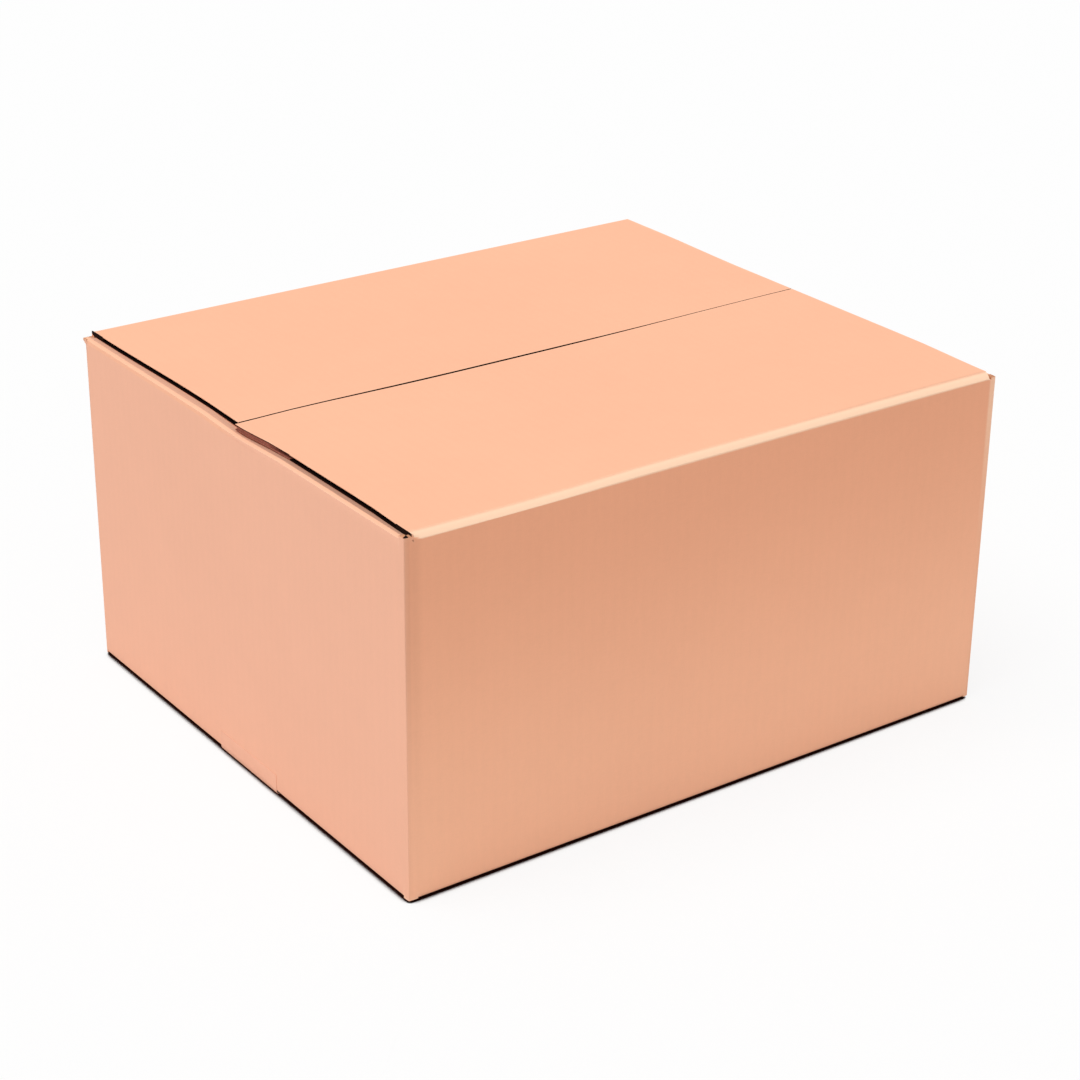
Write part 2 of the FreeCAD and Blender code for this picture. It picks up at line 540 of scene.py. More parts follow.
class Graph:
    """The nodes of one material, or of the sky."""

    def __init__(self, owner: bpy.types.ID, output: str = "ShaderNodeOutputMaterial") -> None:
        """Give a material or a world an empty tree with an output."""
        self.owner = owner
        owner.use_nodes = True
        self.tree = owner.node_tree
        self.tree.nodes.clear()
        self.output = self.node(output)

    def node(self, kind: str, settings: dict | None = None, sockets: dict | None = None) -> bpy.types.Node:
        """Add a node.

        Args:
            kind: The node's type.
            settings: What is set on the node itself, before its sockets.
            sockets: Values or links of its inputs, by name or number.

        Returns:
            The new node.
        """
        node = self.tree.nodes.new(kind)
        for key, value in (settings or {}).items():
            setattr(node, key, value)
        for key, value in (sockets or {}).items():
            source = value.socket if isinstance(value, Signal) else value
            if isinstance(source, bpy.types.NodeSocket):
                self.tree.links.new(source, node.inputs[key])
            else:
                node.inputs[key].default_value = source
        return node

    def place(self, scale: Sequence[float] = (1, 1, 1),
              turn: Sequence[float] = (0, 0, 0)) -> bpy.types.NodeSocket:
        """The point on the object, with each axis scaled and turned."""
        where = self.node("ShaderNodeTexCoord").outputs["Object"]
        mapping = self.node("ShaderNodeMapping", {}, {"Vector": where, "Scale": scale, "Rotation": turn})
        return mapping.outputs[0]

    def noise(self, where: bpy.types.NodeSocket, scale: float, detail: float = 3,
              rough: float = 0.55) -> Signal:
        """Soft noise from 0 to 1, around a half."""
        values = {"Vector": where, "Scale": scale, "Detail": detail, "Roughness": rough}
        return Signal(self, self.node("ShaderNodeTexNoise", {}, values).outputs["Fac"])

    def mark(self, mark: Mark) -> Signal:
        """A mark that the sheet's points carry."""
        node = self.node("ShaderNodeAttribute", {"attribute_name": mark.value})
        return Signal(self, node.outputs["Fac"])

    def blend(self, share: Signal | float, first: object, second: object,
              mode: str = "MIX") -> bpy.types.NodeSocket:
        """One colour mixed with another.

        Args:
            share: How much of the second colour there is.
            first: The first colour or its socket.
            second: The second colour or its socket.
            mode: How the two are mixed.

        Returns:
            The socket of the mixed colour.
        """
        settings = {"data_type": "RGBA", "blend_type": mode}
        node = self.node("ShaderNodeMix", settings, {0: share, 6: first, 7: second})
        return node.outputs[2]

    def shader(self, **sockets: object) -> None:
        """Add the surface's shader and send it to the output."""
        named = {key.replace("_", " "): value for key, value in sockets.items()}
        self.show(self.node("ShaderNodeBsdfPrincipled", {}, named))

    def show(self, shader: bpy.types.Node) -> None:
        """Send a shader to the output."""
        self.tree.links.new(shader.outputs[0], self.output.inputs["Surface"])

    def seen(self) -> Signal:
        """One where the camera itself looks, and nothing where only light does."""
        return Signal(self, self.node("ShaderNodeLightPath").outputs["Is Camera Ray"])

    def height(self) -> Signal:
        """How high a point is on the object."""
        split = self.node("ShaderNodeSeparateXYZ", {}, {"Vector": self.place()})
        return Signal(self, split.outputs["Z"])

    def relief(self, height: Signal, depth: float) -> bpy.types.NodeSocket:
        """The normal of a surface whose height varies by up to a depth."""
        node = self.node("ShaderNodeBump", {}, {"Height": height, "Distance": depth, "Strength": 1.0})
        return node.outputs[0]


@dataclass(frozen=True)
class Kraft:
    """Brown liner paper, smooth and matt, paler where a fold has stretched it, with painted light and shade:
    highlights on folds, shade in folds, lips and bottom folds, and lit walls.
    """

    body: Colour = (0.880, 0.456, 0.292, 1.0)
    lit_side_and_shade_tint: Colour = (0.855, 0.455, 0.312, 1.0)
    wall_shaded_high: Colour = (0.845, 0.392, 0.233, 1.0)
    wall_lit_low: Colour = (0.965, 0.508, 0.322, 1.0)
    wall_top: float = 200 * MM
    # pale: worn edges, and the folds' stretched paper with their painted highlight
    pale: Colour = (0.970, 0.660, 0.460, 1.0)
    deep: Colour = (0.640, 0.290, 0.165, 1.0)
    # painted shade under the bottom folds, where the box meets the floor
    underside_shade_colour: Colour = (0.045, 0.010, 0.006, 1.0)
    cloud_scale: float = 7.0
    mottle_scale: float = 55.0
    fibre_scales: tuple[float, float] = (1500.0, 1300.0)
    fibre_stretch: float = 0.16
    fibre_turn: tuple[float, float, float] = (0.4, 0.3, 0.9)
    fleck: float = 0.12
    washboard: float = 0.02 * MM

    def make(self, pitch: float) -> bpy.types.Material:
        """Build the material.

        Args:
            pitch: How far apart the flutes under the paper are.

        Returns:
            The material.
        """
        graph = Graph(bpy.data.materials.new("kraft_liner"))
        upright, lying = (1, 1, self.fibre_stretch), (self.fibre_stretch, 1, 1)
        here = graph.place()
        clouds = graph.noise(here, self.cloud_scale, detail=2)
        mottle = graph.noise(here, self.mottle_scale, detail=4, rough=0.6)
        fibre_a = graph.noise(graph.place(upright), self.fibre_scales[0], detail=3, rough=0.65)
        fibre_b = graph.noise(graph.place(lying, self.fibre_turn), self.fibre_scales[1], detail=3, rough=0.65)
        fibres = (fibre_a + fibre_b) * 0.5
        wave = (graph.mark(Mark.ACROSS) * (2 * math.pi / pitch)).sine()
        # painted light: the left wall, lit from its side, is paler and pinker; the lines beside the lips take
        # the same tint as painted shade
        panels = graph.blend(graph.mark(Mark.SIDE), self.body, self.lit_side_and_shade_tint)
        # painted light and shade: the long walls are darker high up and paler low down, where the floor
        # lights them
        wall_light = graph.blend(graph.height().ramp(0.0, self.wall_top), self.wall_lit_low, self.wall_shaded_high)
        base = graph.blend(graph.mark(Mark.LONG_WALL_LIGHT), panels, wall_light)
        ripple = (clouds - 0.5) * 0.06 + (mottle - 0.5) * 0.04 + (fibres - 0.5) * 0.10 + wave * 0.003
        # painted shade in the upright folds, beside the near fold and on the lips under the outer flaps'
        # edges
        tone = 1.0 + ripple - graph.mark(Mark.FOLD_SHADE) * 0.12
        toned = graph.blend(1.0, base, tone, "MULTIPLY")
        specks = fibre_a.ramp(0.70, 0.84) * self.fleck
        speckled = graph.blend(specks, toned, self.deep)
        # painted highlight with stretched paper: the folds turn paler than the panels on both sides
        stretch_and_glint = graph.mark(Mark.CREASE) * (0.95 + (fibres - 0.5) * 0.5)
        with_pale_crease = graph.blend(stretch_and_glint.ramp(0.1, 0.9), speckled, self.pale)
        worn = graph.mark(Mark.WORN) * (0.35 + (mottle - 0.5) * 1.6)
        edged = graph.blend(worn.ramp(0.05, 1.4), with_pale_crease, self.pale)
        # painted shade: the undersides of the bottom folds turn nearly black
        underside_shading = graph.mark(Mark.UNDERSIDE_SHADE) * (1.0 + (mottle - 0.5) * 0.8)
        colour = graph.blend(underside_shading.ramp(0.15, 0.75), edged, self.underside_shade_colour)
        height = wave * 0.5 + (fibres - 0.5) * 0.9 + (mottle - 0.5) * 0.8
        graph.shader(
            Base_Color=colour,
            Roughness=0.80 + (fibres - 0.5) * 0.25,
            Specular_IOR_Level=0.22,
            Normal=graph.relief(height, self.washboard),
        )
        return graph.owner


@dataclass(frozen=True)
class CutEdge:
    """The raw paper that a cut through the board shows."""

    body: Colour
    deep: Colour
    grain: float = 900.0
    patch_scale: float = 120.0
    depth: float = 0.08 * MM

    def make(self, name: str) -> bpy.types.Material:
        """Build the material under a name."""
        graph = Graph(bpy.data.materials.new(name))
        here = graph.place()
        fluff = graph.noise(here, self.grain, detail=4, rough=0.7)
        patches = graph.noise(here, self.patch_scale, detail=3)
        share = (fluff * 0.6 + patches * 0.4).ramp(0.38, 0.64)
        graph.shader(
            Base_Color=graph.blend(share, self.deep, self.body),
            Roughness=0.9,
            Specular_IOR_Level=0.1,
            Normal=graph.relief(fluff, self.depth),
        )
        return graph.owner


@dataclass(frozen=True)
class PaperTape:
    """Gummed paper tape: kraft with long fibres and a slightly glazed face."""

    body: Colour = (0.862, 0.460, 0.316, 1.0)
    deep: Colour = (0.800, 0.410, 0.275, 1.0)
    thread_scale: float = 1200.0
    thread_stretch: float = 0.06
    cloud_scale: float = 30.0
    depth: float = 0.03 * MM

    def make(self) -> bpy.types.Material:
        """Build the material."""
        graph = Graph(bpy.data.materials.new("paper_tape"))
        along = graph.place((self.thread_stretch, 1, 1))
        threads = graph.noise(along, self.thread_scale, detail=3, rough=0.6)
        clouds = graph.noise(graph.place(), self.cloud_scale, detail=3)
        share = (threads * 0.5 + clouds * 0.5).ramp(0.30, 0.62)
        graph.shader(
            Base_Color=graph.blend(share, self.deep, self.body),
            Roughness=0.62 + (threads - 0.5) * 0.3,
            Specular_IOR_Level=0.3,
            Normal=graph.relief(threads, self.depth),
        )
        return graph.owner


@dataclass(frozen=True)
class Finishes:
    """The materials of the board's slots, and of the tape."""

    liner: bpy.types.Material
    cut: bpy.types.Material
    core: bpy.types.Material
    crushed: bpy.types.Material
    tape: bpy.types.Material

    @classmethod
    def make(cls, board: Board) -> "Finishes":
        """Build every finish of a board once."""
        return cls(
            liner=Kraft().make(board.flute_pitch),
            cut=CutEdge(paint(214, 158, 122), paint(176, 116, 84)).make("liner_edge"),
            # painted shade: the core's near-black colour stands for the flutes' insides in their own shadow
            core=CutEdge(paint(30, 7, 3), paint(18, 4, 1)).make("board_core"),
            crushed=CutEdge(paint(170, 106, 90), paint(146, 84, 70)).make("crushed_edge"),
            tape=PaperTape().make(),
        )

    def dress_board(self, obj: bpy.types.Object) -> None:
        """Give a piece of board its slots, in the order of the skins."""
        obj.data.materials.clear()
        for material in (self.liner, self.cut, self.core, self.crushed):
            obj.data.materials.append(material)


@dataclass(frozen=True)
class FluteRun:
    """The wavy paper between the liners, where a cut across the flutes shows it."""

    board: Board
    start: Vector
    along: Vector
    inward: Vector
    length: float
    set_back: float = 0.35 * MM
    short_by: float = 0.4 * MM
    arc_steps: int = 6
    smooth_under: float = math.radians(40)

    def build(self, name: str, finishes: Finishes) -> bpy.types.Object:
        """Make one wave from two arcs and repeat it along the cut.

        Args:
            name: Name of the piece.
            finishes: The finishes of the board.

        Returns:
            The strip of flutes, with its place in its mesh.
        """
        board = self.board
        half_chord = board.flute_pitch / 4
        crest = (board.thickness - 2 * board.liner - board.medium) / 2
        radius = (half_chord ** 2 + crest ** 2) / (2 * crest)
        rise = self.along.cross(self.inward).normalized()
        mouth = self.start + self.inward * self.set_back
        wave = Sheet(name, mouth, mouth + self.inward * (board.channel - self.short_by), 0)
        bow = rise * (radius - crest)
        swing = 2 * math.asin(half_chord / radius) * self.sense(rise)
        wave.pick(lambda p: True)
        wave.fold(mouth + self.along * half_chord - bow, self.inward, swing, self.arc_steps)
        wave.fold(mouth + self.along * 3 * half_chord + bow, self.inward, -swing, self.arc_steps)
        bpy.ops.object.mode_set(mode="OBJECT")
        wave.obj.data.materials.append(finishes.cut)
        apply_modifier("ARRAY", count=int(self.length / board.flute_pitch), use_relative_offset=False,
                       use_constant_offset=True, constant_offset_displace=self.along * board.flute_pitch,
                       use_merge_vertices=True, merge_threshold=NEAR)
        apply_modifier("SOLIDIFY", thickness=board.medium, offset=0)
        bpy.ops.object.shade_smooth_by_angle(angle=self.smooth_under)
        return wave.obj

    def sense(self, rise: Vector) -> float:
        """The sign of the turn that takes the wave over its first crest."""
        return 1.0 if self.inward.cross(rise).dot(self.along) > 0 else -1.0


def join(main: bpy.types.Object, others: Sequence[bpy.types.Object]) -> None:
    """Make other pieces part of the main one, outside edit mode, and go on editing it."""
    bpy.ops.object.select_all(action="DESELECT")
    for obj in (*others, main):
        obj.select_set(True)
    bpy.context.view_layer.objects.active = main
    bpy.ops.object.join()
    bpy.ops.object.mode_set(mode="EDIT")


@dataclass
class Carton:
    """The walls, the glue tab, the inner flaps and the bottom flaps: one folded sheet."""

    size: BoxSize
    board: Board
    finishes: Finishes
    rows: int = 12
    tab_width: float = 35 * MM
    tab_taper: float = 10 * MM
    tab_clear: float = 5 * MM
    raw_edge: float = 0.5 * MM
    flute_margin: float = 2 * MM
    lip_width: float = 3 * MM
    lip_round: float = -0.7
    front_round: float = -0.72
    rear_round: float = 0.6
    rear_tip_round: float = -0.95

    def __post_init__(self) -> None:
        """Work out the places of the folds."""
        radius = self.board.fold_radius
        self.core_x = self.size.long - radius
        self.core_y = self.size.wide - radius
        self.tab_x = self.size.long - self.board.thickness
        self.tab_core_x = self.tab_x - radius
        self.low_row = self.size.inner_drop + radius
        self.inner_tangent = self.size.top - self.size.inner_drop - radius
        self.strip_row = self.size.top - radius - self.size.hinge_strip
        self.slot_low = self.size.slot_depth
        self.corner_low = 1.5 * MM
        self.corner_high = self.size.top - self.size.inner_drop - 0.2 * MM
        self.slot_high = self.size.top - self.size.slot_depth

    def build(self) -> bpy.types.Object:
        """Fold the whole sheet, give it its thickness and dress it."""
        sheet = self.walls()
        self.shape_tab(sheet)
        sheet.write(Mark.ACROSS, lambda vertex: self.across(vertex.co))
        self.raise_top(sheet)
        self.close_bottom(sheet)
        sheet.face_out(-ALONG_Y)
        sheet.write(Mark.CREASE, lambda vertex: fold_mark(vertex) + right_end_highlight_mark(vertex, self.size))
        sheet.write(Mark.UNDERSIDE_SHADE, underside_shade_mark)
        sheet.write(Mark.FOLD_SHADE, lambda vertex: score_mark(vertex, self.size) + self.lip_shade(vertex))
        sheet.write(Mark.SIDE, self.lit_side_and_shade_mark)
        sheet.write(Mark.LONG_WALL_LIGHT, long_wall_light_mark)
        sheet.write(Mark.WORN, lambda vertex: float(vertex.is_boundary and not self.in_strip(vertex.co)))
        self.finishes.dress_board(sheet.obj)
        sheet.thicken(self.board)
        sheet.open_channels(self.board, self.has_channel)
        # painted shade: the corners' cut ends take the near-black core finish
        sheet.repaint(lambda p: self.at_corner(p) and self.in_shade(p), Skin.CUT, Skin.SHADED_CORE)
        self.crush_folds(sheet)
        bpy.ops.object.mode_set(mode="OBJECT")
        join(sheet.obj, self.flutes())
        self.knock(sheet)
        return sheet.done()

    def walls(self) -> Sheet:
        """Draw the upright band of tab, folds and walls round the box."""
        size, steps = self.size, self.board.fold_steps
        first = Vector((self.tab_x, self.core_y - self.tab_width, self.low_row))
        sheet = Sheet("carton_board", first, first + UP * (self.strip_row - self.low_row), self.rows - 1)
        sheet.run(ALONG_Y, self.core_y)
        sheet.fold(Vector((self.tab_core_x, self.core_y, 0)), UP, QUARTER, steps)
        sheet.run(ALONG_X, size.left_cut, -self.core_x)
        sheet.fold(Vector((-self.core_x, self.core_y, 0)), UP, QUARTER, steps)
        sheet.run(ALONG_Y, size.inner_cut, -size.inner_cut, -self.core_y)
        sheet.fold(Vector((-self.core_x, -self.core_y, 0)), UP, QUARTER, steps)
        sheet.run(ALONG_X, size.left_cut, size.right_cut, self.core_x)
        sheet.fold(Vector((self.core_x, -self.core_y, 0)), UP, QUARTER, steps)
        sheet.run(ALONG_Y, -size.inner_cut, size.inner_cut, size.wide - self.raw_edge)
        return sheet

    def shape_tab(self, sheet: Sheet) -> None:
        """Taper the glue tab towards its free edge."""
        middle = self.size.top / 2
        lift = middle - (self.low_row + self.strip_row) / 2
        y = self.core_y - self.tab_width
        for step in graded(self.tab_width):
            sheet.pick(lambda p: self.on_tab(p) and same(p.y, y))
            margin = self.size.inner_drop + self.tab_clear
            margin += self.tab_taper * (self.core_y - y) / self.tab_width
            factor = (self.size.top - 2 * margin) / (self.strip_row - self.low_row)
            bpy.ops.transform.translate(value=(0, 0, lift))
            bpy.ops.transform.resize(value=(1, 1, factor), center_override=(0, 0, middle))
            y += step

    def on_tab(self, p: Vector) -> bool:
        """Whether a point is on the glue tab."""
        return same(p.x, self.tab_x) and 0 < p.y < self.core_y - NEAR

    def on_short(self, p: Vector) -> bool:
        """Whether a point is on a short wall, between its slots."""
        return abs(p.x) > self.core_x + NEAR and abs(p.y) < self.size.inner_cut

    def on_long(self, p: Vector) -> bool:
        """Whether a point is on a long wall, between its slots."""
        right = self.size.right_cut if p.y < 0 else self.tab_core_x
        return abs(p.y) > self.core_y + NEAR and self.size.left_cut < p.x < right

    def in_strip(self, p: Vector) -> bool:
        """Whether a point is where an outer flap's hinge strip joins the wall."""
        right = self.size.right_cut if p.y < 0 else self.tab_core_x
        beside = self.size.left_cut - NEAR < p.x < right + NEAR
        above = self.strip_row - NEAR < p.z < self.slot_high - NEAR
        return beside and above and abs(p.y) > self.core_y - NEAR

    def has_channel(self, p: Vector) -> bool:
        """Whether a rim face at a point is a cut edge that one can look into."""
        if self.in_strip(p):
            return False
        raw = p.x > self.tab_x and same(p.y, self.size.wide - self.raw_edge)
        corner = abs(p.y) > self.size.inner_cut - NEAR and abs(p.x) > self.core_x - self.board.thickness
        return raw or not corner

    def at_corner(self, p: Vector) -> bool:
        """Whether a point is on the cut end of a corner, between the slots beside it."""
        beyond = abs(p.x) > -self.size.left_cut - NEAR and abs(p.y) > self.size.inner_cut - NEAR
        return beyond and (self.tops_corner(p) or same(p.z, self.corner_low))

    def lit_side_and_shade_mark(self, vertex: bmesh.types.BMVert) -> float:
        """Whether a point takes the painted light of the left wall, up to the near fold's edge, or the
        painted shade of the line beside a lip.
        """
        edge = -0.6 if vertex.co.y < 0 else -0.97
        return float(vertex.normal.x < edge or self.lip_shade(vertex) > 0.5)

    def in_shade(self, p: Vector) -> bool:
        """Whether a point on a corner's cut end gets the painted shade: all of it below, and the near one's
        middle above.
        """
        if p.z < self.size.top / 2:
            return True
        return p.x < -self.core_x - 0.2 * MM and p.y < -self.core_y - 0.9 * MM

    def lip_shade(self, vertex: bmesh.types.BMVert) -> float:
        """How dark the painted shade is on an inner top flap's lip, where the outer flaps' edges lie over it.
        """
        lifted = vertex.co.z > self.inner_tangent and abs(vertex.co.x) > self.core_x - self.lip_width
        if not lifted or abs(vertex.normal.y) >= 0.3 or vertex.normal.z <= 0.5:
            return 0.0
        strength = 3.4 - 1.9 * part_way(vertex.co.y, -40 * MM, 20 * MM)
        return strength * plateau(fold_angle(vertex), 86, 90, 6)

    def crush_folds(self, sheet: Sheet) -> None:
        """Flatten the upright folds at the rear, and sharpen the front ones and the inner flaps' folds."""
        board = self.board
        for side in (-1, 1):
            across = ALONG_X * side
            lip = Vector((side * self.core_x, 0, self.inner_tangent))
            sheet.crush(lip, across, UP, board, self.lip_round, self.beside_inner_cut)
            front = Vector((side * self.core_x, -self.core_y, 0))
            sheet.crush(front, across, -ALONG_Y, board, self.front_round, lambda p: True)
            rear = Vector((side * self.core_x, self.core_y, 0))
            sheet.crush(rear, across, ALONG_Y, board, self.rear_round, lambda p: not self.on_corner_end(p))
            sheet.crush(rear, across, ALONG_Y, board, self.rear_tip_round, self.on_corner_end)

    def beside_inner_cut(self, p: Vector) -> bool:
        """Whether a point lies between the slots of a short wall, with their edges."""
        return abs(p.y) < self.size.inner_cut + NEAR

    def across(self, p: Vector) -> float:
        """How far round the box a point is, which is the way across the flutes."""
        if abs(p.y) > self.core_y:
            return p.x
        return self.core_x + self.board.fold_radius * QUARTER + self.core_y + p.y

    def raise_top(self, sheet: Sheet) -> None:
        """Raise the corners to the slots and fold the inner flaps over."""
        size, steps = self.size, self.board.fold_steps
        sheet.pick_rim(lambda p: same(p.z, self.strip_row) and not self.on_long(p) and not self.on_tab(p))
        sheet.extrude(UP * (self.inner_tangent - self.strip_row))
        for side in (-1, 1):
            sheet.pick_rim(self.rim_at(self.inner_tangent, side, self.on_short))
            sheet.fold(Vector((side * self.core_x, 0, self.inner_tangent)), ALONG_Y, -side * QUARTER, steps)
            sheet.run(ALONG_X, side * size.inner_end)
        sheet.pick_rim(lambda p: same(p.z, self.inner_tangent) and abs(p.x) > self.tab_core_x - 12 * MM
                       and not self.on_short(p) and not self.inside(p))
        sheet.extrude(UP * (self.slot_high - self.inner_tangent))
        sheet.pick_rim(lambda p: same(p.z, self.slot_high))
        sheet.extrude(UP * (self.corner_high - self.slot_high))

    def inside(self, p: Vector) -> bool:
        """Whether a point lies well inside the four walls."""
        return abs(p.x) < self.tab_core_x and abs(p.y) < self.core_y

    def rim_at(self, height: float, side: int, region: Place) -> Place:
        """A place on one side of the box, at one height and in one region."""
        return lambda p: same(p.z, height) and p.x * side > 0 and region(p)

    def close_bottom(self, sheet: Sheet) -> None:
        """Fold the bottom flaps in, the inner pair and then the outer pair."""
        size, steps = self.size, self.board.fold_steps
        for side, dip in ((-1, size.left_dip), (1, 0.0)):
            sheet.pick_rim(self.rim_at(self.low_row, side, self.on_short))
            if dip:
                sheet.extrude(-UP * dip)
            sheet.fold(Vector((side * self.core_x, 0, self.low_row - dip)), ALONG_Y, side * QUARTER, steps)
            if dip:
                sheet.extrude(Vector((self.core_x + size.left_cut, 0, dip)))
            sheet.run(ALONG_X, side * size.inner_end)
        sheet.pick_rim(lambda p: same(p.z, self.low_row) and not self.on_short(p)
                       and not self.on_tab(p) and not self.inside(p))
        sheet.extrude(UP * (self.slot_low - self.low_row))
        tangent = self.board.fold_radius + size.tape
        for side in (-1, 1):
            sheet.pick_rim(lambda p: same(p.z, self.slot_low) and p.y * side > 0 and self.on_long(p))
            sheet.extrude(UP * (tangent - self.slot_low))
            sheet.fold(Vector((0, side * self.core_y, tangent)), ALONG_X, -side * QUARTER, steps)
            sheet.run(ALONG_Y, side * size.seam)
        sheet.pick_rim(lambda p: same(p.x, self.tab_core_x) and p.y > 0 and p.z < tangent)
        sheet.extrude(ALONG_X * (size.right_cut - self.tab_core_x))
        sheet.pick_rim(lambda p: same(p.z, self.slot_low) and not self.beside_tab(p))
        sheet.extrude(UP * (self.corner_low - self.slot_low))

    def beside_tab(self, p: Vector) -> bool:
        """Whether a point is on the fold that joins the rear wall to the glue tab."""
        return p.y > 0 and self.tab_core_x - NEAR < p.x < self.tab_x + NEAR

    def flutes(self) -> list[bpy.types.Object]:
        """The wavy paper in the free ends of the inner flaps and along the bottom seam."""
        board, size = self.board, self.size
        half = board.thickness / 2
        levels = {"top": size.top - size.inner_drop - half, "bottom": size.inner_drop + half}
        made = []
        for side in (-1, 1):
            for level, height in levels.items():
                start = Vector((side * size.inner_end, self.flute_margin - size.inner_cut, height))
                run = FluteRun(board, start, ALONG_Y, ALONG_X * side, 2 * size.inner_cut - 3 * MM)
                made.append(run.build(f"flute_{level}_{side}", self.finishes))
            start = Vector((size.left_cut + self.flute_margin, side * size.seam, size.tape + half))
            length = size.right_cut - size.left_cut - 3 * MM
            run = FluteRun(board, start, ALONG_X, ALONG_Y * side, length)
            made.append(run.build(f"flute_seam_{side}", self.finishes))
        return made

    def knock(self, sheet: Sheet) -> None:
        """Give the sheet its sags, and raise the near corner's end."""
        size = self.size
        top = size.top - 12 * MM
        near_corner = 4 * MM - self.core_y
        sheet.press(lambda p: self.tops_corner(p) and p.x < size.left_cut + MM and p.y < near_corner,
                    (0, 0, 1.6), 0.1, lambda p: not self.tops_corner(p))
        for side in (-1, 1):
            free_end = side * size.inner_end
            sheet.press(lambda p: p.z > top and abs(p.x - free_end) < 8 * MM and abs(p.y) < 60 * MM,
                        (0, 0, -1.3), 92)
        sheet.press(lambda p: p.z > top and abs(p.x - size.left_cut - 2 * MM) < 3 * MM and -18 * MM < p.y < 0,
                    (0, 0, -1.5), 44, self.not_on_lip)
        sheet.press(lambda p: p.z > self.inner_tangent + 1.5 * MM and p.x < -self.core_x - MM
                    and abs(p.y - size.inner_cut) < MM and not self.on_corner_end(p),
                    (0, 3.9, 0), 3.5, self.not_on_lip)

    def tops_corner(self, p: Vector) -> bool:
        """Whether a point is at the height where the corners end."""
        return same(p.z, self.corner_high)

    def on_corner_end(self, p: Vector) -> bool:
        """Whether a point is on the upper end of a corner, beside the inner flap's fold."""
        return same(p.z, self.slot_high) or self.tops_corner(p)

    def not_on_lip(self, p: Vector) -> bool:
        """Whether a point is on a wall or a corner rather than on an inner top flap."""
        beyond = abs(p.y) > self.size.inner_cut + NEAR
        return p.z < self.inner_tangent + NEAR or beyond or self.on_corner_end(p)


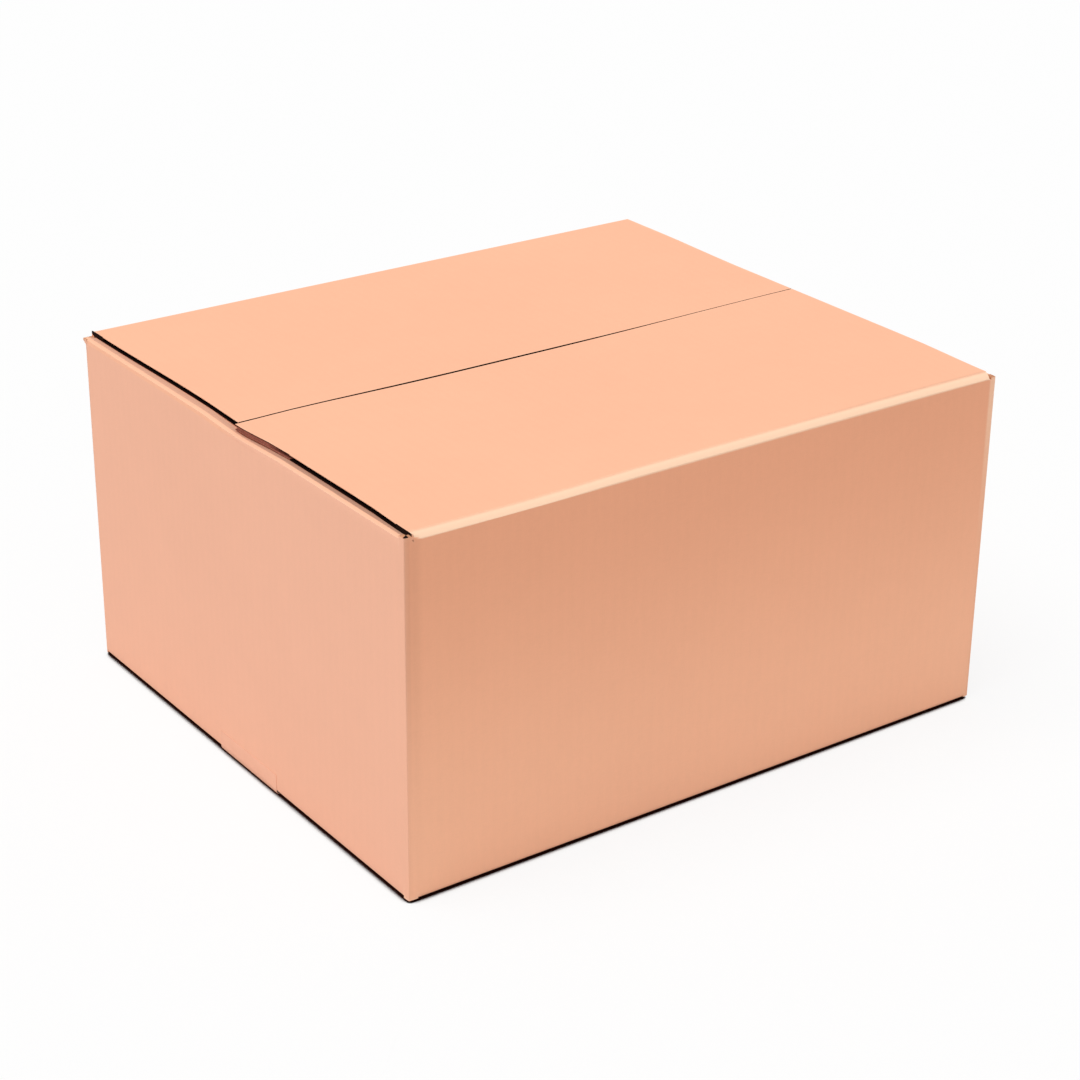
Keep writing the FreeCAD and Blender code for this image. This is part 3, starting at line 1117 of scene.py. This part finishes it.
@dataclass
class OuterFlap:
    """One outer top flap with the strip of wall that it folds from."""

    size: BoxSize
    board: Board
    finishes: Finishes
    name: str
    body: str
    side: int
    strip_end: float
    rigid: float = 12 * MM
    dark_to: float = 14 * MM
    crushed_from: float = -54 * MM
    fold_flat: float = 0.75
    first_flute: float = 7 * MM
    bend_reach: float = 3.6 * MM

    def __post_init__(self) -> None:
        """Work out where the slots end, the fold starts, and the edges' papers and channel are."""
        size, board = self.size, self.board
        self.slot_high = size.top - size.slot_depth
        self.fold_y = size.wide - board.fold_radius
        self.low_paper = size.top - board.thickness + board.liner
        self.high_paper = size.top - board.liner
        self.floor_x = size.left_cut + board.channel - MM

    def build(self) -> bpy.types.Object:
        """Fold the flap, give it its thickness and dress it."""
        sheet = self.fold_over()
        sheet.face_out(UP)
        sheet.write(Mark.ACROSS, lambda vertex: vertex.co.x)
        sheet.write(Mark.CREASE, lambda vertex: self.fold_paleness(vertex) + right_end_highlight_mark(vertex, self.size))
        sheet.write(Mark.LONG_WALL_LIGHT, long_wall_light_mark)
        sheet.write(Mark.FOLD_SHADE, lambda vertex: score_mark(vertex, self.size) + self.fold_line(vertex.co))
        sheet.write(Mark.WORN, lambda vertex: float(vertex.is_boundary and vertex.co.z > self.slot_high))
        self.finishes.dress_board(sheet.obj)
        sheet.thicken(self.board)
        sheet.open_channels(self.board, self.has_channel)
        self.paint_edges(sheet)
        centre = Vector((0, self.side * self.fold_y, self.size.top - self.board.fold_radius))
        across = ALONG_Y * self.side
        sheet.crush(centre, across, UP, self.board, self.fold_flat, lambda p: not self.at_left_end(p))
        sheet.crush(centre, across, UP, self.board, -self.fold_flat, self.at_left_end)
        bpy.ops.object.mode_set(mode="OBJECT")
        join(sheet.obj, [self.flutes()])
        self.knock(sheet)
        return sheet.done()

    def paint_edges(self, sheet: Sheet) -> None:
        """Give the cut edges and the ends of the fold their skins, with the near-black core finish as a
        painted shade on the rims beside the fold and on the left edge's lower paper.
        """
        sheet.repaint(lambda p: self.beside_fold(p) or self.left_fold_tip(p), Skin.CUT, Skin.SHADED_CORE)
        sheet.repaint(lambda p: p.z > self.slot_high and not self.has_channel(p), Skin.CUT, Skin.LINER)
        sheet.repaint(lambda p: self.on_left_edge(p) and p.z < self.low_paper, Skin.CUT, Skin.SHADED_CORE)
        sheet.repaint(lambda p: self.on_left_edge(p) and p.z > self.high_paper, Skin.CUT, Skin.LINER)

    def has_channel(self, p: Vector) -> bool:
        """Whether a rim face is a cut edge that one can look into, clear of the part that bends."""
        return p.z > self.slot_high and abs(p.y) < self.size.wide - self.rigid

    def beside_fold(self, p: Vector) -> bool:
        """Whether a rim face is the cut edge from the channel's end to the fold, which gets a painted shade.
        """
        return p.z > self.slot_high and self.size.wide - self.dark_to < abs(p.y) < self.fold_y - NEAR

    def fold_line(self, p: Vector) -> float:
        """How dark the painted dark line is that ends the front fold on the flap, at its right half only."""
        on_line = self.side < 0 and same(p.y, -self.fold_y) and p.z > self.slot_high
        return 1.2 * part_way(p.x, 20 * MM, 100 * MM) if on_line else 0.0

    def at_left_end(self, p: Vector) -> bool:
        """Whether a point is on the left end of the flap."""
        return p.x < self.size.left_cut + NEAR

    def by_left_edge(self, p: Vector) -> bool:
        """Whether a point is within a millimetre of the left edge."""
        return p.x < self.size.left_cut + MM

    def on_left_edge(self, p: Vector) -> bool:
        """Whether a rim face is on one of the papers that edge the left channel."""
        return self.by_left_edge(p) and self.has_channel(p)

    def left_fold_tip(self, p: Vector) -> bool:
        """Whether a point is on the upper part of the fold's left end."""
        beyond = abs(p.y) > self.fold_y - 0.6 * MM
        return self.at_left_end(p) and beyond and p.z > self.size.top - 2.5 * MM

    def fold_paleness(self, vertex: bmesh.types.BMVert) -> float:
        """How pale the fold is, from stretched paper with a painted highlight, which its left end is only on
        its upper side.
        """
        beside = vertex.co.x - self.size.left_cut
        first = 45 if beside < MM else 20 if beside < 4 * MM else 0
        return fold_mark(vertex) if fold_angle(vertex) >= first else 0.0

    def fold_over(self) -> Sheet:
        """Draw the strip of wall, the fold and the flap up to the seam."""
        size = self.size
        tangent = size.top - self.board.fold_radius
        low = tangent - size.hinge_strip
        start = Vector((size.left_cut, self.side * size.wide, low))
        sheet = Sheet(self.name, start, start + UP * (self.slot_high - low), 2)
        sheet.run(ALONG_X, self.strip_end)
        sheet.pick_rim(lambda p: same(p.z, self.slot_high))
        sheet.extrude(UP * (tangent - self.slot_high))
        centre = Vector((0, self.side * self.fold_y, tangent))
        sheet.fold(centre, ALONG_X, self.side * QUARTER, self.board.fold_steps)
        sheet.run(ALONG_Y, self.side * size.seam)
        if self.strip_end < size.right_cut:
            sheet.pick_rim(lambda p: same(p.x, self.strip_end) and p.z > self.slot_high)
            sheet.extrude(ALONG_X * (size.right_cut - self.strip_end))
        return sheet

    def flutes(self) -> bpy.types.Object:
        """The wavy paper in the edge at the seam."""
        size = self.size
        height = size.top - self.board.thickness / 2
        start = Vector((size.left_cut + self.first_flute, self.side * size.seam, height))
        length = size.right_cut - size.left_cut - self.first_flute - MM
        run = FluteRun(self.board, start, ALONG_X, ALONG_Y * self.side, length)
        return run.build("flute_" + self.name, self.finishes)

    def knock(self, sheet: Sheet) -> None:
        """Let the flap's free edge sag between its corners, and give its edges their wear and their painted
        shade.
        """
        sheet.press(lambda p: abs(p.y) < 8 * MM and abs(p.x) < 45 * MM, (0, 0, -1.1), 140)
        if self.side < 0:
            self.knock_front(sheet)
        else:
            self.knock_rear(sheet)

    def knock_front(self, sheet: Sheet) -> None:
        """Crush the left edge's end, drop the front flap's corners and open its seam towards the left."""
        sheet.repaint(lambda p: p.x < self.floor_x + 2 * MM and p.y > self.crushed_from,
                      Skin.SHADED_CORE, Skin.CRUSHED)
        # painted shade: the crushed end's upper paper shows as a thin black line
        sheet.repaint(lambda p: self.on_left_edge(p) and p.z > self.high_paper and p.y > self.crushed_from,
                      Skin.LINER, Skin.SHADED_CORE)
        filled = 0.6 - self.board.channel / MM
        sheet.press(lambda p: self.on_channel_floor(p) and p.y > self.crushed_from + 14 * MM,
                    (filled, 0, 0), 20.5, lambda p: not self.on_channel_floor(p))
        sheet.press(lambda p: self.by_seam(p) and -70 * MM < p.x < 0, (0, -0.9, 0), 110)
        sheet.press(lambda p: self.by_seam(p) and p.x > 150 * MM, (0, 0.3, 0), 130)
        sheet.press(lambda p: p.y < -160 * MM and p.z > self.slot_high + MM and -150 * MM < p.x < -100 * MM,
                    (0, 0, -1.0), 70, self.below_slot)
        sheet.press(lambda p: self.by_seam(p) and self.by_left_edge(p), (-1.7, 0.1, -0.8), 44)
        sheet.press(lambda p: self.by_left_edge(p) and -120 * MM < p.y < -112 * MM, (-0.7, 0, 0), 14)
        sheet.press(lambda p: self.by_left_edge(p) and self.at_fold(p), (-1.0, 0, -0.2), 40, self.below_slot)
        sheet.press(lambda p: self.by_right_edge(p) and self.at_fold(p), (-1.5, 0, -0.4), 60, self.below_slot)

    def knock_rear(self, sheet: Sheet) -> None:
        """Give the rear flap's cut edge at the seam a painted shade, and draw its left edge in and its right
        edge out.
        """
        sheet.repaint(self.by_seam, Skin.CUT, Skin.SHADED_CORE)
        sheet.press(lambda p: self.by_seam(p) and self.by_left_edge(p), (0, 0, -0.6), 44)
        sheet.press(lambda p: self.by_left_edge(p) and 30 * MM < p.y < 60 * MM, (1.2, 0, 0), 90)
        sheet.press(lambda p: self.by_right_edge(p) and p.y > 120 * MM, (2.0, 0, 0), 80)

    def by_seam(self, p: Vector) -> bool:
        """Whether a point is beside the seam."""
        return p.y * self.side < 3 * MM

    def by_right_edge(self, p: Vector) -> bool:
        """Whether a point is beside the right edge."""
        return p.x > self.size.right_cut - MM

    def at_fold(self, p: Vector) -> bool:
        """Whether a point of the front flap is on its fold or just behind it."""
        return p.z > self.slot_high + MM and p.y < -self.size.inner_cut

    def on_channel_floor(self, p: Vector) -> bool:
        """Whether a point is on the floor of the open channel in the left edge."""
        between = self.low_paper - 0.22 * MM < p.z < self.high_paper + 0.22 * MM
        return self.floor_x < p.x < self.floor_x + 2 * MM and between and abs(p.y) < self.size.wide - 4 * MM

    def below_slot(self, p: Vector) -> bool:
        """Whether a point is on the strip of wall below the slots' ends."""
        return p.z < self.slot_high + NEAR

    def hinge(self, obj: bpy.types.Object) -> None:
        """Bend the piece between the box and its flap's body, across the fold."""
        size = self.size
        start = (0, self.side * size.wide, size.top - self.board.fold_radius - self.bend_reach)
        end = (0, self.side * (self.fold_y - self.bend_reach), size.top)
        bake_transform(obj, "box", self.body, start=start, end=end)


@dataclass
class BottomTape:
    """The strip of paper tape over the bottom seam, turned up at both ends."""

    finishes: Finishes
    left_bend: tuple[tuple[float, float], ...] = ((0.1, 2.0), (0.6, 0.7), (1.6, 0.1))
    under: float = 0.6 * MM

    def build(self, size: BoxSize, board: Board) -> bpy.types.Object:
        """Lay the strip from one short wall to the other.

        Args:
            size: The sizes of the box.
            board: The sizes of its board.

        Returns:
            The finished strip.
        """
        low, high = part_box("bottom_tape")
        start = Vector((low.x, low.y, high.z))
        sheet = Sheet("bottom_tape_strip", start, Vector((low.x, high.y, high.z)), 5)
        fold_z = size.inner_drop + board.fold_radius
        sheet.run(UP, fold_z - size.left_dip)
        for inset, height in self.left_bend:
            self.draw_to(sheet, low.x + inset * MM, height * MM)
        self.draw_to(sheet, size.left_cut - self.under, 0)
        sheet.run(ALONG_X, size.right_cut + self.under)
        self.draw_to(sheet, high.x - 0.35 * MM, fold_z - 1.6 * MM)
        self.draw_to(sheet, high.x, fold_z)
        sheet.run(UP, high.z)
        sheet.face_out(-UP)
        bpy.ops.object.mode_set(mode="OBJECT")
        sheet.obj.data.materials.append(self.finishes.tape)
        apply_modifier("SOLIDIFY", thickness=size.tape, offset=-1)
        bpy.ops.object.mode_set(mode="EDIT")
        return sheet.done()

    def draw_to(self, sheet: Sheet, x: float, z: float) -> None:
        """Extrude the strip's end to a place along the box and above the floor."""
        here = sheet.reach()
        sheet.extrude(Vector((x - here.x, 0, z - here.z)))


@dataclass(frozen=True)
class Studio:
    """The floor, the light and the camera of the photograph."""

    focal_px: float = 2534.5
    image_px: float = 1080.0
    sensor: float = 36.0
    clip: tuple[float, float] = (0.05, 50)
    azimuth: float = math.radians(-35.758)
    elevation: float = math.radians(24.646)
    roll: float = math.radians(0.5915)
    stand: tuple[float, float, float] = (-0.75892, -1.06246, 0.68504)
    sky: float = 0.55
    backdrop: float = 0.985
    key_power: float = 2.13
    key_from: tuple[float, float, float] = (-0.22, 0.0, 0.64)
    key_spread: float = math.radians(50)
    floor_size: float = 12.0
    floor_albedo: float = 0.85
    shadow_share: float = 0.15
    contact: float = 8 * MM
    contact_open: tuple[float, float] = (0.48, 0.68)
    contact_shade: Colour = (0.030, 0.006, 0.004, 1.0)

    def aim(self) -> None:
        """Stand the camera where the photograph was taken from."""
        data = bpy.data.cameras.new("camera")
        data.sensor_width = self.sensor
        data.lens = self.focal_px / self.image_px * self.sensor
        data.clip_start, data.clip_end = self.clip
        camera = bpy.data.objects.new("camera", data)
        bpy.context.scene.collection.objects.link(camera)
        a, e, r = self.azimuth, self.elevation, self.roll
        back = Vector((math.sin(a) * math.cos(e), -math.cos(a) * math.cos(e), math.sin(e)))
        level = Vector((math.cos(a), math.sin(a), 0))
        upright = back.cross(level)
        right = math.cos(r) * level + math.sin(r) * upright
        above = math.cos(r) * upright - math.sin(r) * level
        turn = Matrix((right, above, back)).transposed()
        camera.matrix_world = Matrix.Translation(self.stand) @ turn.to_4x4()
        bpy.context.scene.camera = camera

    def light(self) -> None:
        """Light the box with a pale sky and one wide lamp from above."""
        world = bpy.data.worlds.new("sky")
        bpy.context.scene.world = world
        sky = Graph(world, "ShaderNodeOutputWorld")
        strength = sky.seen() * (self.backdrop - self.sky) + self.sky
        sky.show(sky.node("ShaderNodeBackground", {}, {"Color": WHITE, "Strength": strength}))
        lamp = bpy.data.lights.new("key", "SUN")
        lamp.energy = self.key_power
        lamp.angle = self.key_spread
        key = bpy.data.objects.new("key", lamp)
        bpy.context.scene.collection.objects.link(key)
        key.rotation_euler = Vector(self.key_from).to_track_quat("Z", "Y").to_euler()

    def lay_floor(self) -> None:
        """Lay a pale floor that shows the box's soft shadow, and a painted dark contact shadow close to the
        box.
        """
        bpy.ops.object.select_all(action="DESELECT")
        bpy.ops.mesh.primitive_plane_add(size=self.floor_size, location=(0, 0, -0.1 * MM))
        floor = bpy.context.active_object
        floor.name = "floor"
        graph = Graph(bpy.data.materials.new("pale_floor"))
        pale = (self.floor_albedo,) * 3 + (1,)
        nearby = {"Distance": self.contact, "Color": WHITE}
        occlusion = graph.node("ShaderNodeAmbientOcclusion", {"samples": 16}, nearby)
        clear = Signal(graph, occlusion.outputs["AO"]).ramp(*self.contact_open)
        # painted contact shadow: the floor's colour turns to contact_shade where ambient occlusion finds the
        # box close by
        shade = graph.blend(clear, self.contact_shade, pale)
        matt = graph.node("ShaderNodeBsdfDiffuse", {}, {"Color": shade})
        glow = graph.node("ShaderNodeEmission", {}, {"Color": WHITE, "Strength": self.backdrop})
        bright = graph.seen() * (1 - self.shadow_share) * clear
        sockets = {0: bright, 1: matt.outputs[0], 2: glow.outputs[0]}
        graph.show(graph.node("ShaderNodeMixShader", {}, sockets))
        floor.data.materials.append(graph.owner)

    def set_up(self) -> None:
        """Set up the camera, the light and the floor."""
        bpy.context.scene.view_settings.view_transform = "Standard"
        self.aim()
        self.light()
        self.lay_floor()


def report(piece: bpy.types.Object) -> None:
    """Log a finished piece with its number of faces."""
    LOG.info("%s: %d faces", piece.name, len(piece.data.polygons))


def main() -> None:
    """Build the box in its frame and report each piece."""
    logging.basicConfig(level=logging.INFO, format="%(name)s: %(message)s")
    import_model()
    Studio().set_up()
    board = Board()
    finishes = Finishes.make(board)
    size = BoxSize.from_frame()

    carton = Carton(size, board, finishes)
    shell = carton.build()
    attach(shell, "box")
    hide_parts("carton")
    report(shell)

    base = (size, board, finishes)
    flaps = (
        OuterFlap(*base, "front_flap_board", "front_flap", -1, size.right_cut),
        OuterFlap(*base, "rear_flap_board", "rear_flap", 1, carton.tab_core_x),
    )
    for flap, node in zip(flaps, ("front_top_flap", "rear_top_flap")):
        leaf = flap.build()
        flap.hinge(leaf)
        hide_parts(node)
        report(leaf)

    strip = BottomTape(finishes).build(size, board)
    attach(strip, "box")
    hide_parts("bottom_tape")
    report(strip)

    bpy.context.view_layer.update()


if __name__ == "__main__":
    main()
